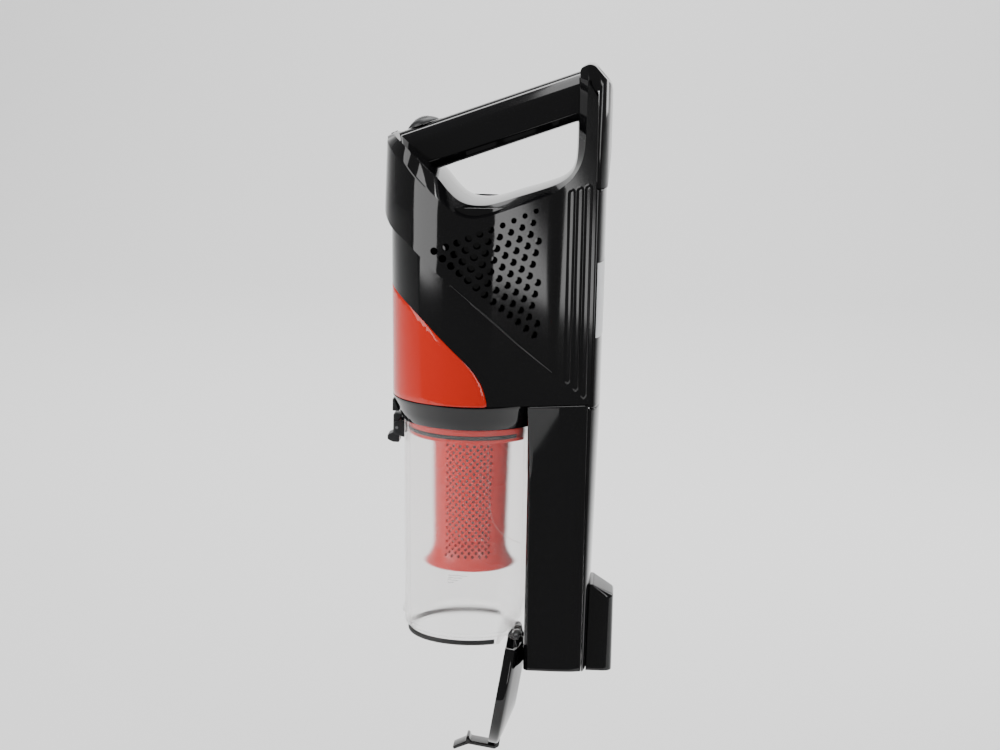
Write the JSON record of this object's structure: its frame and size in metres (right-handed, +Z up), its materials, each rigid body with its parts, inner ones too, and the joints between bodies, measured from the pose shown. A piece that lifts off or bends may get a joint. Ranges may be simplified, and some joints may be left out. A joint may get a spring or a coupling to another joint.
{
  "type": "handheld vacuum",
  "caption": "Cordless handheld vacuum with a slanted grip, clear swing-lid dust cup, red separator filter and a nozzle down its back.",
  "frame": {"origin": "centre of the slanted grip bar, where a hand holds it", "axes": "+Z up along the long axis with the nozzle pointing down, +X from the cup towards the back covers, +Y to the right half seen from the cup"},
  "size_m": [0.1514, 0.107, 0.4488],
  "materials": {
    "body_shell_left": "glossy near-black ABS",
    "body_shell_right": "glossy near-black ABS",
    "front_panel": "glossy orange-red ABS",
    "front_shroud": "glossy near-black ABS",
    "collar": "glossy near-black ABS",
    "grip_bar": "glossy near-black ABS",
    "power_switch": "fine matte dark grey",
    "switch_block": "fine matte dark grey",
    "back_cover": "glossy near-black ABS",
    "nozzle_back": "glossy near-black ABS",
    "rating_plate": "blank printed film",
    "top_cap": "glossy near-black ABS",
    "charging_socket": "fine matte dark grey",
    "nozzle_duct": "glossy near-black ABS",
    "dust_cup": "slightly hazy clear plastic",
    "cup_seal": "matte black rubber",
    "lid_pin": "satin",
    "dust_lid": "glossy near-black ABS",
    "filter_flange": "satin red plastic",
    "flange_seal": "matte black rubber",
    "cyclone_filter": "satin red plastic",
    "pleated_filter": "pleated paper",
    "cup_catch": "fine matte dark grey",
    "cup_latch_lever": "fine matte dark grey",
    "latch_pin": "satin",
    "latch_pod": "glossy near-black ABS",
    "tube_release_button": "fine matte dark grey",
    "button_spring": "satin",
    "motor_floor": "glossy near-black ABS",
    "fan_shroud": "satin",
    "motor_can": "satin",
    "stator": "lacquered copper windings",
    "bearing_lower": "satin",
    "bearing_upper": "satin",
    "motor_rubber_lower": "matte black rubber",
    "motor_rubber_upper": "matte black rubber",
    "motor_carrier": "fine matte dark grey",
    "rotor_shaft": "satin",
    "impeller": "satin",
    "exhaust_filter": "open foam",
    "control_board": "solder mask",
    "battery_holder": "fine matte dark grey",
    "battery_cell_1": "shrink sleeve",
    "battery_cell_2": "shrink sleeve",
    "battery_cell_3": "shrink sleeve",
    "battery_cell_4": "shrink sleeve",
    "cell_link_top": "satin",
    "cell_link_bottom": "satin",
    "motor_lead": "matte black rubber"
  },
  "bodies": {
    "main": {"body_shell_left": "body_shell_left", "body_shell_right": "body_shell_right", "front_panel": "front_panel", "front_shroud": "front_shroud", "collar": "collar", "grip_bar": "grip_bar", "switch_block": "switch_block", "back_cover": "back_cover", "nozzle_back": "nozzle_back", "rating_plate": "rating_plate", "top_cap": "top_cap", "charging_socket": "charging_socket", "nozzle_duct": "nozzle_duct", "filter_flange": "filter_flange", "flange_seal": "flange_seal", "cyclone_filter": "cyclone_filter", "pleated_filter": "pleated_filter", "cup_catch": "cup_catch", "latch_pod": "latch_pod", "button_spring": "button_spring", "motor_floor": "motor_floor", "fan_shroud": "fan_shroud", "motor_can": "motor_can", "stator": "stator", "bearing_lower": "bearing_lower", "bearing_upper": "bearing_upper", "motor_rubber_lower": "motor_rubber_lower", "motor_rubber_upper": "motor_rubber_upper", "motor_carrier": "motor_carrier", "exhaust_filter": "exhaust_filter", "control_board": "control_board", "battery_holder": "battery_holder", "battery_cell_1": "battery_cell_1", "battery_cell_2": "battery_cell_2", "battery_cell_3": "battery_cell_3", "battery_cell_4": "battery_cell_4", "cell_link_top": "cell_link_top", "cell_link_bottom": "cell_link_bottom", "motor_lead": "motor_lead"},
    "cup": {"dust_cup": "dust_cup", "cup_seal": "cup_seal", "lid_pin": "lid_pin", "latch_pin": "latch_pin"},
    "lid": {"dust_lid": "dust_lid"},
    "latch_lever": {"cup_latch_lever": "cup_latch_lever"},
    "switch_slide": {"power_switch": "power_switch"},
    "release_button": {"tube_release_button": "tube_release_button"},
    "rotor": {"rotor_shaft": "rotor_shaft", "impeller": "impeller"}
  },
  "joints": [
    {"name": "cup_slide", "type": "slide", "parent": "main", "child": "cup", "axis": [0, 0, -1], "range_m": [0, 0.105]},
    {"name": "lid_hinge", "type": "hinge", "parent": "cup", "child": "lid", "pos_m": [0.014, 0, -0.3315], "axis": [0, 1, 0], "range_deg": [0, 81]},
    {"name": "latch_pivot", "type": "hinge", "parent": "cup", "child": "latch_lever", "pos_m": [-0.0657, 0, -0.1965], "axis": [0, -1, 0], "range_deg": [0, 8], "stiffness_Nm_per_rad": 0.05},
    {"name": "switch_slide", "type": "slide", "parent": "main", "child": "switch_slide", "axis": [0.9406, 0, 0.3395], "range_m": [0, 0.008]},
    {"name": "button_press", "type": "slide", "parent": "main", "child": "release_button", "axis": [-1, 0, 0], "range_m": [0, 0.003], "stiffness_N_per_m": 400, "deforming": ["button_spring"]},
    {"name": "rotor_spin", "type": "hinge", "parent": "main", "child": "rotor", "pos_m": [-0.018, 0, -0.162], "axis": [0, 0, 1], "continuous": true}
  ]
}
